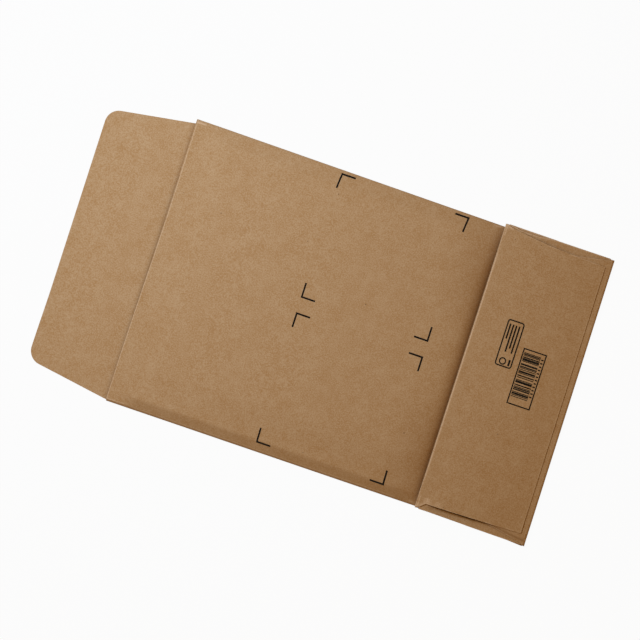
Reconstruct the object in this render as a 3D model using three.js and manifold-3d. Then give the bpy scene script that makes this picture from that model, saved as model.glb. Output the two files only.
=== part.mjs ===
// A kraft card mailing envelope, folded flat. One blank of card makes it all: a back panel with
// an open closing flap, two side gussets, a front panel, and a block bottom that is folded up
// over the front panel and closed by two end flaps and two lips.
import * as THREE from "three";
import { mergeVertices } from "three/addons/utils/BufferGeometryUtils.js";
import Module from "manifold-3d";

// Driving dimensions in millimetres. X runs from the flap's tip to the bottom fold, Y across
// the panels and Z up, with the underside of the back panel at Z = 0.
const PANEL_WIDTH = 208.4; // over the body's side folds
const BODY_LENGTH = 322.8; // from the mouth to the bottom fold
const SHEET = 0.5; // thickness of the card
const LAYER_GAP = 0.4; // air between two folded layers

const FLAP_LENGTH = 64.7;
const FLAP_TIP_WIDTH = 187;
const FLAP_ROOT_INSET = 0.8; // from each side fold to the flap's root
const FLAP_OFFSET = -1; // from the panel's centre line to the flap's
const FLAP_CORNER_RADIUS = 10.5;

const CREST_RISE = 6.4; // of the front panel, where it springs up most
const CREST_TO_FOLD = 30; // from that crest to the bottom's near fold
const CREASE_RISE = 3.8; // of the soft creases beside the panel's side folds
const CREASE_FALL = 1.5; // how much less that is at the crest
const CREASE_INSET = 6.8; // from the start of the panel's slope to the creases
const DOME_LENGTH = 36; // from a crease to where the panel is level across
const MOUTH_EASE = 28; // from the mouth to where the creases have their full rise
const DROP_POWER = 2.2; // of the curve from the crest down to the fold
const DOME_FACETS = 4; // in each curved stretch of the panel

const BOTTOM_DEPTH = 83; // of the block bottom, from fold to fold
const BOTTOM_WIDTH = 212.6; // over the bottom's end folds
const CORNER_RELIEF = 0.4; // slit between two folds that meet at a corner of the bottom

const LIP_MARGIN = 4.4; // from the outer lip's free edge to the bottom fold
const LIP_ROOT_INSET = 3.5; // from the bottom's end to the lip, past its root chamfer
const LIP_TIP_INSET = 7.1; // from the bottom's end to the lip, at its free edge
const LIP_CHAMFER = 7.4; // length of the root chamfer

const UNDER_LIP_LENGTH = 62;
const UNDER_LIP_INSET = 5.7; // from the bottom's end to the under lip, past its root fillet
const UNDER_LIP_FILLET = 10; // length of the root fillet along X

const END_FLAP_LENGTH = 36; // of the flaps that fold in from the bottom's ends
const END_FLAP_RELIEF = 3; // from the bottom's corners to the end flap

const FOLD_FACETS = 12; // in a half turn of the sheet
const CORNER_FACETS = 12; // in a rounded corner
const GRID = 1024; // places in a millimetre that corners are set on
const KRAFT = 0xa9855c;

// Layers of the folded sheet, counted up from the back panel at 0.
const [
  BACK,
  GUSSET_LOW,
  GUSSET_HIGH,
  FRONT,
  FRONT_TURNED,
  EAR_LOW,
  EAR_HIGH,
  END_FLAP,
  UNDER_LIP,
  OUTER_LIP,
] = Array(10).keys();
const LAYERS_THAT_TURN = EAR_LOW - GUSSET_LOW; // they end where the front panel turns back

const PITCH = SHEET + LAYER_GAP;
const WELD = 4 * SHEET; // length that two joined runs of the sheet share
const level = (layer) => SHEET / 2 + layer * PITCH;
const reach = (lower, upper) => ((upper - lower) * PITCH + SHEET) / 2;

const GUSSET = BOTTOM_DEPTH / 2;
const SIDE_Y = PANEL_WIDTH / 2;
const END_Y = BOTTOM_WIDTH / 2;
const SIDE_TURN_Y = SIDE_Y - reach(BACK, GUSSET_LOW);
const END_TURN_Y = END_Y - reach(EAR_HIGH, END_FLAP);
const EAR_TIP_Y = END_Y - GUSSET;

const TIP_X = -(FLAP_LENGTH + BODY_LENGTH) / 2;
const MOUTH_X = TIP_X + FLAP_LENGTH;
const BOTTOM_X = MOUTH_X + BODY_LENGTH;
const BOTTOM_TURN_X = BOTTOM_X - reach(BACK, UNDER_LIP - LAYERS_THAT_TURN);
const HALF_X = BOTTOM_X - GUSSET;
const HALF_TURN_X = HALF_X - reach(GUSSET_HIGH, EAR_LOW);
const FOLD_X = BOTTOM_X - BOTTOM_DEPTH;
const CREST_X = FOLD_X - CREST_TO_FOLD;
const FOLD_TURN_X = FOLD_X + reach(FRONT_TURNED, OUTER_LIP);
const LIP_END_X = BOTTOM_X - LIP_MARGIN;

// Past the front panel's turn the upper layers sink by the layers that end there.
const SINK = (LAYERS_THAT_TURN * PITCH) / (BOTTOM_TURN_X - HALF_X);
const stackZ = (layer, x) => level(layer) - SINK * Math.max(0, x - HALF_X);
const FLARE = (END_Y - SIDE_Y) / (BOTTOM_TURN_X - HALF_X);

const wasm = await Module();
wasm.setup();

function solidOf(geometry) {
  const bare = geometry.index ? geometry.toNonIndexed() : geometry.clone();
  bare.deleteAttribute("normal");
  bare.deleteAttribute("uv");
  const corners = bare.attributes.position.array;
  corners.forEach((value, i) => {
    corners[i] = Math.round(value * GRID) / GRID;
  });
  const merged = mergeVertices(bare);
  const mesh = new wasm.Mesh({
    numProp: 3,
    vertProperties: merged.attributes.position.array,
    triVerts: new Uint32Array(merged.index.array),
  });
  return new wasm.Manifold(mesh);
}

// The section of a sheet that follows a route: the route's points, moved out to both faces.
function sheetSection(route) {
  const apart = (p, i, all) => i === 0 || p.distanceTo(all[i - 1]) > 1e-6;
  const points = route.getPoints(Math.round(FOLD_FACETS / 2)).filter(apart);
  const left = [];
  const right = [];
  points.forEach((p, i) => {
    const into = p.clone().sub(points[Math.max(i - 1, 0)]).normalize();
    const out = points[Math.min(i + 1, points.length - 1)].clone().sub(p).normalize();
    const mean = into.clone().add(out).normalize();
    const along = i === 0 ? out : into;
    const reachOut = SHEET / 2 / (i === 0 || i === points.length - 1 ? 1 : mean.dot(along));
    const normal = new THREE.Vector2(-mean.y, mean.x).multiplyScalar(reachOut);
    left.push(p.clone().add(normal));
    right.unshift(p.clone().sub(normal));
  });
  return new THREE.Shape([...left, ...right]);
}

// A half turn of the sheet, from one layer up to another, that bulges to +1 or -1.
function halfTurn(route, at, lowZ, highZ, bulge) {
  const centre = (lowZ + highZ) / 2;
  route.absarc(at, centre, (highZ - lowZ) / 2, -Math.PI / 2, Math.PI / 2, bulge < 0);
}

const straight = (depth) => ({ depth, bevelEnabled: false });

// A sheet whose section lies in X and Z, drawn out across the panels.
function drawnAcross(route, fromY, toY) {
  const geometry = new THREE.ExtrudeGeometry(sheetSection(route), straight(toY - fromY));
  return geometry.rotateX(Math.PI / 2).translate(0, toY, 0);
}

// A sheet whose section lies in Y and Z, drawn out along the panels.
function drawnAlong(route, fromX, toX) {
  const geometry = new THREE.ExtrudeGeometry(sheetSection(route), straight(toX - fromX));
  const axes = new THREE.Matrix4().makeBasis(
    new THREE.Vector3(0, 1, 0),
    new THREE.Vector3(0, 0, 1),
    new THREE.Vector3(1, 0, 0),
  );
  return geometry.applyMatrix4(axes).translate(fromX, 0, 0);
}

// Leans what lies past the front panel's turn out by spread and down by sink, for each mm of X.
function leaned(geometry, spread, sink) {
  const lean = new THREE.Matrix4();
  lean.set(1, 0, 0, 0, spread, 1, 0, -spread * HALF_X, -sink, 0, 1, sink * HALF_X, 0, 0, 0, 1);
  return geometry.applyMatrix4(lean);
}

function outline(points) {
  return new THREE.Shape(points.map(([x, y]) => new THREE.Vector2(x, y)));
}

function prism(shape, fromZ, toZ) {
  const options = { ...straight(toZ - fromZ), curveSegments: Math.round(CORNER_FACETS / 2) };
  return new THREE.ExtrudeGeometry(shape, options).translate(0, 0, fromZ);
}

// What trims all layers to an outline, and what clears one layer, from gap to gap.
const trimmer = (shape) => solidOf(prism(shape, -PITCH, level(OUTER_LIP) + PITCH));
const layerSpace = (shape, layer) => prism(shape, level(layer - 0.5), level(layer + 0.5));

// The plan of what lies past the diagonal from a corner of the bottom to the tip of an ear.
function beyondDiagonal(side, cornerX) {
  return outline([
    [cornerX, side * END_Y],
    [HALF_X, side * EAR_TIP_Y],
    [HALF_X, 0],
    [cornerX, 0],
  ]);
}

// Rounds the corner of an outline between two straight edges, and draws up to the arc's end.
function roundCorner(shape, before, corner, after, radius) {
  const back = before.clone().sub(corner).normalize();
  const on = after.clone().sub(corner).normalize();
  const half = back.angleTo(on) / 2;
  const middle = back.clone().add(on).normalize();
  const centre = corner.clone().addScaledVector(middle, radius / Math.sin(half));
  const start = corner.clone().addScaledVector(back, radius / Math.tan(half));
  const end = corner.clone().addScaledVector(on, radius / Math.tan(half));
  const startAngle = start.sub(centre).angle();
  const endAngle = end.sub(centre).angle();
  shape.absarc(centre.x, centre.y, radius, startAngle, endAngle, false);
}

// The back panel and the closing flap, which is its end past the mouth.
function backPanel() {
  const root = SIDE_Y - FLAP_ROOT_INSET;
  const tip = FLAP_TIP_WIDTH / 2;
  const rootHigh = new THREE.Vector2(MOUTH_X, FLAP_OFFSET + root);
  const tipHigh = new THREE.Vector2(TIP_X, FLAP_OFFSET + tip);
  const tipLow = new THREE.Vector2(TIP_X, FLAP_OFFSET - tip);
  const rootLow = new THREE.Vector2(MOUTH_X, FLAP_OFFSET - root);
  const side = SIDE_TURN_Y - WELD / 2;
  const end = END_TURN_Y - WELD / 2;
  const shape = new THREE.Shape();
  shape.moveTo(HALF_X, -side);
  shape.lineTo(BOTTOM_TURN_X, -end);
  shape.lineTo(BOTTOM_TURN_X, end);
  shape.lineTo(HALF_X, side);
  shape.lineTo(MOUTH_X, side);
  shape.lineTo(rootHigh.x, rootHigh.y);
  roundCorner(shape, rootHigh, tipHigh, tipLow, FLAP_CORNER_RADIUS);
  roundCorner(shape, tipHigh, tipLow, rootLow, FLAP_CORNER_RADIUS);
  shape.lineTo(rootLow.x, rootLow.y);
  shape.lineTo(MOUTH_X, -side);
  return [solidOf(prism(shape, 0, SHEET))];
}

// How far the front panel springs up at a place: steeply beside its mouth and side folds, then
// in a gentle dome to its crest, from where it goes down to the bottom's near fold.
function panelRise(x, y) {
  const { clamp, smoothstep } = THREE.MathUtils;
  const ahead = clamp((x - MOUTH_X) / (CREST_X - MOUTH_X), 0, 1);
  const opening = smoothstep(x, MOUTH_X, MOUTH_X + MOUTH_EASE);
  const crease = opening * (CREASE_RISE - CREASE_FALL * ahead ** 2);
  const crown = opening * CREASE_RISE + (CREST_RISE - CREASE_RISE) * (1 - (1 - ahead) ** 2);
  const inside = SIDE_TURN_Y - WELD / 2 - Math.abs(y);
  const slope = crease * clamp(inside / CREASE_INSET, 0, 1);
  const dome = (crown - crease) * smoothstep(inside, CREASE_INSET, CREASE_INSET + DOME_LENGTH);
  const down = clamp((x - CREST_X) / CREST_TO_FOLD, 0, 1) ** DROP_POWER;
  return (slope + dome) * (1 - down);
}

// A stretch cut into facets, without its start.
function facets(from, to) {
  return Array.from({ length: DOME_FACETS }, (_, i) => from + ((to - from) * (i + 1)) / DOME_FACETS);
}

// The sprung part of the front panel, from the mouth to just past the bottom's near fold.
function sprungPanel() {
  const easedX = MOUTH_X + MOUTH_EASE;
  const alongX = [MOUTH_X, ...facets(MOUTH_X, easedX), ...facets(easedX, CREST_X)];
  alongX.push(...facets(CREST_X, FOLD_X), FOLD_X + WELD);
  const heldY = SIDE_TURN_Y - WELD / 2;
  const creaseY = heldY - CREASE_INSET;
  const half = [SIDE_TURN_Y, heldY, creaseY, ...facets(creaseY, creaseY - DOME_LENGTH)];
  const acrossY = [...half.map((y) => -y), ...half.toReversed()];
  const [cellsX, cellsY] = [alongX.length - 1, acrossY.length - 1];
  const geometry = new THREE.BoxGeometry(cellsX, cellsY, SHEET, cellsX, cellsY);
  const place = geometry.attributes.position;
  for (let i = 0; i < place.count; i += 1) {
    const x = alongX[Math.round(place.getX(i) + cellsX / 2)];
    const y = acrossY[Math.round(place.getY(i) + cellsY / 2)];
    place.setXYZ(i, x, y, level(FRONT) + place.getZ(i) + panelRise(x, y));
  }
  return solidOf(geometry);
}

// The front panel, which turns back on itself under the bottom and runs to the outer lip.
function frontPanel() {
  const route = new THREE.Path();
  route.moveTo(FOLD_X + WELD / 2, level(FRONT));
  route.lineTo(HALF_TURN_X, level(FRONT));
  halfTurn(route, HALF_TURN_X, level(FRONT), level(FRONT_TURNED), 1);
  route.lineTo(FOLD_TURN_X, level(FRONT_TURNED));
  return [sprungPanel(), solidOf(drawnAcross(route, -SIDE_TURN_Y, SIDE_TURN_Y))];
}

// One side gusset: two layers between the back and the front panel, open to the outside.
function sideGusset(side) {
  const innerTurn = side * (SIDE_Y - GUSSET + reach(GUSSET_LOW, GUSSET_HIGH));
  const route = new THREE.Path();
  route.moveTo(side * (SIDE_TURN_Y - WELD), level(BACK));
  route.lineTo(side * SIDE_TURN_Y, level(BACK));
  halfTurn(route, side * SIDE_TURN_Y, level(BACK), level(GUSSET_LOW), side);
  route.lineTo(innerTurn, level(GUSSET_LOW));
  halfTurn(route, innerTurn, level(GUSSET_LOW), level(GUSSET_HIGH), -side);
  route.lineTo(side * SIDE_TURN_Y, level(GUSSET_HIGH));
  halfTurn(route, side * SIDE_TURN_Y, level(GUSSET_HIGH), level(FRONT), side);
  route.lineTo(side * (SIDE_TURN_Y - WELD / 4), level(FRONT));
  return [solidOf(drawnAlong(route, MOUTH_X, HALF_TURN_X))];
}

// The gusset's lower layer beside the bottom, cut to the diagonal along which it turns up.
function gussetCorner(side) {
  const route = new THREE.Path();
  route.moveTo(side * (SIDE_TURN_Y - WELD), level(BACK));
  route.lineTo(side * SIDE_TURN_Y, level(BACK));
  halfTurn(route, side * SIDE_TURN_Y, level(BACK), level(GUSSET_LOW), side);
  route.lineTo(side * (SIDE_Y - GUSSET), level(GUSSET_LOW));
  const flared = leaned(drawnAlong(route, HALF_X, BOTTOM_TURN_X), side * FLARE, 0);
  const beyond = layerSpace(beyondDiagonal(side, BOTTOM_X), GUSSET_LOW);
  return [
    solidOf(drawnAlong(route, HALF_TURN_X, HALF_X)),
    solidOf(flared).subtract(solidOf(beyond)),
  ];
}

// The lower ear: the gusset's upper layer, turned over with the front panel and joined to it
// along the bottom's end.
function lowerEar(side) {
  const turn = new THREE.Path();
  turn.moveTo(HALF_TURN_X - WELD, level(GUSSET_HIGH));
  turn.lineTo(HALF_TURN_X, level(GUSSET_HIGH));
  halfTurn(turn, HALF_TURN_X, level(GUSSET_HIGH), level(EAR_LOW), 1);
  turn.lineTo(HALF_TURN_X - WELD, level(EAR_LOW));
  const span = [side * (EAR_TIP_Y + WELD), side * SIDE_TURN_Y].sort((a, b) => a - b);

  const route = new THREE.Path();
  route.moveTo(side * (SIDE_TURN_Y - WELD), level(FRONT_TURNED));
  route.lineTo(side * END_TURN_Y, level(FRONT_TURNED));
  halfTurn(route, side * END_TURN_Y, level(FRONT_TURNED), level(EAR_LOW), side);
  route.lineTo(side * EAR_TIP_Y, level(EAR_LOW));
  const square = solidOf(drawnAlong(route, FOLD_TURN_X, HALF_TURN_X));
  const beyond = layerSpace(beyondDiagonal(side, FOLD_X), EAR_LOW);
  return [solidOf(drawnAcross(turn, ...span)), square.subtract(solidOf(beyond))];
}

// The upper ear, a triangle on the lower one, and the flap that folds in over it from the end.
function endFlap(side) {
  const route = new THREE.Path();
  route.moveTo(side * EAR_TIP_Y, level(EAR_HIGH));
  route.lineTo(side * END_TURN_Y, level(EAR_HIGH));
  halfTurn(route, side * END_TURN_Y, level(EAR_HIGH), level(END_FLAP), side);
  route.lineTo(side * (END_Y - END_FLAP_LENGTH), level(END_FLAP));
  const half = (fromX, toX, cornerX, sink) => {
    const square = leaned(drawnAlong(route, fromX, toX), 0, sink);
    const beyond = leaned(layerSpace(beyondDiagonal(side, cornerX), EAR_HIGH), 0, sink);
    return solidOf(square).subtract(solidOf(beyond));
  };
  return [
    half(FOLD_X + END_FLAP_RELIEF, HALF_X, FOLD_X, 0),
    half(HALF_X, BOTTOM_X - END_FLAP_RELIEF, BOTTOM_X, SINK),
  ];
}

// The creases along which the upper ear hangs on the lower ear and on the gusset's lower layer.
function diagonalCreases(side) {
  const up = new THREE.Vector3(0, 0, 1);
  const tip = new THREE.Vector3(HALF_X, side * EAR_TIP_Y, 0);
  const crease = (cornerX, lowLayer) => {
    const ahead = new THREE.Vector3(cornerX, side * END_Y, 0).sub(tip);
    const length = ahead.length() - END_FLAP_RELIEF * Math.SQRT2;
    ahead.normalize();
    const endX = tip.x + ahead.x * length;
    const shape = outline([
      [0, level(lowLayer)],
      [length, level(lowLayer)],
      [length, stackZ(EAR_HIGH, endX)],
      [0, level(EAR_HIGH)],
    ]);
    const aside = ahead.clone().cross(up);
    const inward = aside.y * side > 0 ? SHEET / 2 : -1.5 * SHEET;
    const geometry = prism(shape, inward, inward + SHEET);
    const axes = new THREE.Matrix4().makeBasis(ahead, up, aside);
    return solidOf(geometry.applyMatrix4(axes).translate(tip.x, tip.y, 0));
  };
  return [crease(FOLD_X, EAR_LOW), crease(BOTTOM_X, GUSSET_LOW)];
}

// The back panel's lip, which turns up at the bottom fold and lies under the outer lip.
function underLip() {
  const end = BOTTOM_X - UNDER_LIP_LENGTH;
  const rootZ = stackZ(UNDER_LIP, BOTTOM_TURN_X);
  const route = new THREE.Path();
  route.moveTo(BOTTOM_TURN_X - WELD, level(BACK));
  route.lineTo(BOTTOM_TURN_X, level(BACK));
  halfTurn(route, BOTTOM_TURN_X, level(BACK), rootZ, 1);
  route.lineTo(HALF_X, level(UNDER_LIP));
  route.lineTo(end, level(UNDER_LIP));
  const root = END_Y - CORNER_RELIEF;
  const inset = END_Y - UNDER_LIP_INSET;
  const fillet = BOTTOM_TURN_X - UNDER_LIP_FILLET;
  const shape = new THREE.Shape();
  shape.moveTo(BOTTOM_X + WELD, -root);
  shape.lineTo(BOTTOM_X + WELD, root);
  shape.lineTo(BOTTOM_TURN_X, root);
  shape.quadraticCurveTo(BOTTOM_TURN_X, inset, fillet, inset);
  shape.lineTo(end - WELD, inset);
  shape.lineTo(end - WELD, -inset);
  shape.lineTo(fillet, -inset);
  shape.quadraticCurveTo(BOTTOM_TURN_X, -inset, BOTTOM_TURN_X, -root);
  return [solidOf(drawnAcross(route, -END_Y, END_Y)).intersect(trimmer(shape))];
}

// The front panel's lip, the outermost layer, which closes the bottom.
function outerLip() {
  const route = new THREE.Path();
  route.moveTo(FOLD_TURN_X + WELD, level(FRONT_TURNED));
  route.lineTo(FOLD_TURN_X, level(FRONT_TURNED));
  halfTurn(route, FOLD_TURN_X, level(FRONT_TURNED), level(OUTER_LIP), -1);
  route.lineTo(HALF_X, level(OUTER_LIP));
  route.lineTo(LIP_END_X, stackZ(OUTER_LIP, LIP_END_X));
  const root = END_Y - CORNER_RELIEF;
  const shoulder = END_Y - LIP_ROOT_INSET;
  const tip = END_Y - LIP_TIP_INSET;
  const chamferX = FOLD_X + LIP_CHAMFER;
  const shape = outline([
    [FOLD_X - WELD, -root],
    [FOLD_TURN_X, -root],
    [chamferX, -shoulder],
    [BOTTOM_X, -tip],
    [BOTTOM_X, tip],
    [chamferX, shoulder],
    [FOLD_TURN_X, root],
    [FOLD_X - WELD, root],
  ]);
  return [solidOf(drawnAcross(route, -END_Y, END_Y)).intersect(trimmer(shape))];
}

const runs = [...backPanel(), ...frontPanel(), ...underLip(), ...outerLip()];
for (const side of [1, -1]) {
  runs.push(...sideGusset(side), ...gussetCorner(side), ...lowerEar(side));
  runs.push(...endFlap(side), ...diagonalCreases(side));
}
const sheet = runs.reduce((whole, run) => whole.add(run)).getMesh();

const geometry = new THREE.BufferGeometry();
geometry.setAttribute("position", new THREE.BufferAttribute(sheet.vertProperties, sheet.numProp));
geometry.setIndex(new THREE.BufferAttribute(sheet.triVerts, 1));
geometry.computeVertexNormals();

const finish = { color: KRAFT, roughness: 0.9, metalness: 0, flatShading: true };
const envelope = new THREE.Mesh(geometry, new THREE.MeshStandardMaterial(finish));
envelope.name = "envelope";

const part = new THREE.Group();
part.add(envelope);

export default part;
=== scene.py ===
import math

import bmesh
import bpy
import numpy as np
from mathutils import Matrix, Vector, noise
from mathutils.bvhtree import BVHTree


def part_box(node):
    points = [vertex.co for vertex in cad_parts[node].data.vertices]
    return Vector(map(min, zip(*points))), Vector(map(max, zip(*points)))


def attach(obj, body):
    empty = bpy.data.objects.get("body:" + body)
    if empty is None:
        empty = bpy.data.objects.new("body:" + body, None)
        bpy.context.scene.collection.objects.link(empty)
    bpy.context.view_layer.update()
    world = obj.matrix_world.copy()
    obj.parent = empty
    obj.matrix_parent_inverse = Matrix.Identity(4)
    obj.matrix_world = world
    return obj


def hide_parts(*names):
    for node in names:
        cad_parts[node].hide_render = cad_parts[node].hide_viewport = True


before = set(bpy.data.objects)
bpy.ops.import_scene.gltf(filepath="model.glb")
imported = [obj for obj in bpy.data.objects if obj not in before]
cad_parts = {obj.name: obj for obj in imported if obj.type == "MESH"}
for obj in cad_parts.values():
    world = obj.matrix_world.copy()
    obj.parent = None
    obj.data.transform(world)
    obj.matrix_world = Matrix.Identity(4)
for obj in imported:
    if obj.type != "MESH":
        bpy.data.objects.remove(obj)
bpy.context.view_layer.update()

# A kraft card mailing envelope lies on a white table with its closing flap open. The sheet is the
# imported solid, cut into a fine grid so that its panels can bend softly. Sizes are in millimetres
# until a mesh is made.
MM = 0.001
SHEET_LOW, SHEET_HIGH = (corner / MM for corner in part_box("envelope"))
TIP_X = SHEET_LOW.x
BOTTOM_X = SHEET_HIGH.x

FLAP_LENGTH = 64.7
BOTTOM_DEPTH = 83
PANEL_WIDTH = 208.4
SHEET = 0.5
PITCH = 0.9  # from one folded layer to the next
FRONT_LAYER = 3
TOP_LAYER = 9
LAYERS_THAT_TURN = 4  # they end at the middle of the bottom, and the layers above sink there
SIDE_MARGIN = 1.7  # from the panel's side to where it leaves the gusset and springs up
NEAR = 0.02
PART_LAYER = PITCH / 4  # taken off a layer's height, to find the points that lie on it

MOUTH_X = TIP_X + FLAP_LENGTH
FOLD_X = BOTTOM_X - BOTTOM_DEPTH
HALF_X = BOTTOM_X - BOTTOM_DEPTH / 2
SIDE_Y = PANEL_WIDTH / 2
HELD_Y = SIDE_Y - SIDE_MARGIN
FRONT_LOW = FRONT_LAYER * PITCH


def top_of(layer):
    """Height of a flat layer's upper face."""
    return layer * PITCH + SHEET


def smooth(t):
    """A soft step from 0 to 1."""
    t = np.clip(t, 0, 1)
    return t * t * (3 - 2 * t)


def smoother(t):
    """A softer step from 0 to 1, that bends nowhere at once."""
    t = np.clip(t, 0, 1)
    return t**3 * (10 - 15 * t + 6 * t * t)


def soft_ramp(t, rounding):
    """A straight ramp from 0 to 1 that is rounded where it ends at 1."""
    excess = np.clip((t - 1 + rounding) / (2 * rounding), 0, 1)
    return np.clip(t, 0, 1 - rounding) + rounding * (2 * excess - excess * excess)


def past_fold(x):
    """How far a place lies along the bottom, from 0 at its near fold to 1 at the bottom fold."""
    return np.clip((x - FOLD_X) / (BOTTOM_X - FOLD_X), 0, 1)


def past_half(x):
    """How far a place lies past the bottom's middle, from 0 there to 1 at the bottom fold."""
    return np.clip((x - HALF_X) / (BOTTOM_X - HALF_X), 0, 1)


def level_of(x, z):
    """The height that a point of the bottom would have if its layers did not sink."""
    return z + LAYERS_THAT_TURN * PITCH * past_half(x)


# How the front panel bends.
CREST_RISE = 7.8  # where it springs up most
CREST_TO_FOLD = 33  # from that crest to the bottom's near fold
CREASE_RISES = (3.8, 4.6)  # of the soft creases beside the +Y and -Y side folds
CREASE_INSETS = (10, 6.8)  # from the start of the panel's slope to the creases
CREASE_GAIN = 0.3  # how much higher the creases are at the crest
CREASE_ROUNDING = 0.25
DOME_LENGTH = 28  # from a crease to where the panel is level across
MOUTH_EASE = 30  # from the mouth to where the creases have their full rise
EASY_DROP = 0.5  # share of the drop from the crest to the fold that begins early
EASY_POWER = 2.2
STEEP_POWER = 8
DIP = 1.15  # how far all layers are pressed down along the fold
DIP_END = 25  # length past the fold in which the dip ends
SIDE_DIPS = (0.6, 0.85)  # shares of the dip along the +Y and -Y side folds
SIDE_DIP_START = 102.2
WAVE_HEIGHT = 0.1
WAVE_LENGTH = 48
WAVE_MARGINS = (3, 3, 6)  # from the side folds, the mouth and the near fold to where waves begin
WAVE_GROWTHS = (14, 16, 20)  # lengths in which they grow from there
CREST_X = FOLD_X - CREST_TO_FOLD

# How the closing flap bends along its score.
FLAP_RISE = 0.66
FLAP_RISE_LENGTH = 3.8  # from the mouth to the height of that rise
FLAP_FALL_LENGTH = 40
FLAP_SKEW = -0.4  # shift of the flap's tip across the envelope
FLAP_REACH = 0.6  # how much further the flap's -Y corner reaches
FLAP_REACH_START = 40
FLAP_REACH_WIDTH = 45
SCORE_TO_MOUTH = 0.8
SCORE_WIDTH = 0.4
SCORE_DEPTH = 0.1
SCORE_UNEVEN = 7  # length of the stretches in which the score is deeper or shallower
MOUTH_SKEWS = (0.9, -0.5)  # how far the mouth lies from the flap, at its +Y and -Y side
MOUTH_SKEW_LENGTH = 40
MOUTH_SKEW_START = 40
MOUTH_SKEW_WIDTH = 110

# How the folded bottom bends, and how far it was folded askew.
BAND_SWELL = 0.7  # rise of the bottom's middle
BAND_DROP = 0.6  # fall of the bottom fold
FOLD_PRESS = 0.5  # how far the bottom's near fold is pressed down
FOLD_PRESS_END = 0.4  # share of the bottom's depth in which that press ends
ROOT_DROP = 1.8 * PITCH  # how much lower the band begins at the bottom fold
KINK = 0.9  # how far the line over the inner fold is pressed down
KINK_WIDTH = 0.16
SKEW_AT_FOLD = (0.989, 1.24)  # scale and shift across the envelope
SKEW_AT_END = (0.9985, 0.6)
SKEW_START = 0.2  # how far below the band's root the skew begins
SKEW_HEIGHT = 0.25  # height in which it grows full
END_BULGE = (0.6, 0.95)  # how far the end folds bulge at the near fold, on the +Y and -Y side
END_BULGE_START = 102.9
END_BULGE_LENGTH = 2.5
END_SKEW = -0.6  # of the bottom fold along the envelope, at the +Y side
RIM_INSETS = (1.5, 0.4)  # of each end's upper fold from its lower one, on the +Y and -Y side
RIM_LEVELS = (5.2, 6.95)  # heights that the upper folds lie between
RIM_START = 99
RIM_LENGTH = 5
RIM_X = FOLD_X + 4
RIM_END_X = FOLD_X + 24
RIM_EASES = (10, 15)  # lengths in which the inset begins and ends
END_SINK = 0.5  # how far the layers of the -Y end are pressed together
END_SINK_START = 95
END_SINK_X = FOLD_X + 4
END_SINK_END_X = 140
END_SINK_WIDTH = 4  # in which that begins across the envelope
END_SINK_EASES = (12, 40)  # lengths in which it begins and ends along it

# How the side folds splay at the mouth and draw in at the bottom, on the +Y and -Y side.
SPLAY_AT_MOUTH = (1.5, 0.8)
SPLAY_AT_FOLD = (-0.3, -0.15)
SPLAY_START = 25  # length from the mouth in which the back panel takes up the splay

# How the outer lip lies on the layers below it.
LIP_EDGE_START = 75
LIP_EDGE_LENGTH = 22
LIP_ROOT_LENGTH = 10
LIP_ROOT_X = FOLD_X + 7.5
LIP_FLOORS = (6.9, 7.7)  # top of what lies below the lip, at its root and past it
LIP_LEVEL = 8.1
LIP_PRESS = 0.3
LIP_ROOT_PRESS = 0.7
LIP_LIFT = 0.9  # of its -Y edge
LIP_DRAW = 0.9  # how far that edge lies further in
LIP_REACH = 2  # how far its +Y edge lies further out, near its root
LIP_REACH_LENGTH = 45
LIP_REACH_START = 2  # from the near fold to where that begins
LIP_REACH_EASE = 6
LIP_FREE_LENGTH = 22
LIP_MARGIN = 4.4  # from the lip's free edge to the bottom fold
LIP_SHOULDER = (FOLD_X + 7.4, SHEET_HIGH.y - 3.5)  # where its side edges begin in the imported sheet
LIP_TAPER = 3.6

# How the lip under it lies.
UNDER_LIP_EDGE = SHEET_HIGH.y - 5.7
UNDER_LIP_ROOT = (BOTTOM_X - 2.05, SHEET_HIGH.y - 0.4)  # where its sides are rounded out to
UNDER_LIP_FILLET = 10
UNDER_LIP_SPREAD = 3.9  # how much wider it grows towards its root
UNDER_LIP_SPREAD_X = 163
UNDER_LIP_SPREAD_LENGTH = 30
UNDER_LIP_SPREAD_WIDTH = 15  # beside its edges, in which it is drawn along
UNDER_LIP_LEVELS = (7.1, 7.8)


def panel_lift(x, y):
    """How far the front panel has sprung up at a place."""
    ahead = np.clip((x - MOUTH_X) / (CREST_X - MOUTH_X), 0, 1)
    opening = smoother((x - MOUTH_X) / MOUTH_EASE)
    crease = opening * (np.where(y > 0, *CREASE_RISES) + CREASE_GAIN * ahead**2)
    level = max(CREASE_RISES)
    crown = opening * level + (CREST_RISE - level) * (1 - (1 - ahead) ** 2)
    inset = np.where(y > 0, *CREASE_INSETS)
    inside = np.clip(HELD_Y - np.abs(y), 0, None)
    slope = crease * soft_ramp(inside / inset, CREASE_ROUNDING)
    dome = (crown - crease) * smooth((inside - inset) / DOME_LENGTH)
    t = np.clip((x - CREST_X) / CREST_TO_FOLD, 0, 1)
    down = EASY_DROP * t**EASY_POWER + (1 - EASY_DROP) * t**STEEP_POWER
    return (slope + dome) * (1 - down)


def fold_dip(x, y, z):
    """How far a layer is pressed down at the side folds and at the bottom's near fold."""
    before = np.clip((x - CREST_X) / CREST_TO_FOLD, 0, 1) ** STEEP_POWER
    past = 1 - smooth((x - FOLD_X) / DIP_END)
    side = smooth((np.abs(y) - SIDE_DIP_START) / (SIDE_Y - SIDE_DIP_START))
    side = side * np.where(y > 0, *SIDE_DIPS)
    share = np.clip((z - SHEET) / (FRONT_LOW - SHEET), 0, 1)
    return DIP * np.maximum(before, side) * past * share


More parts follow.
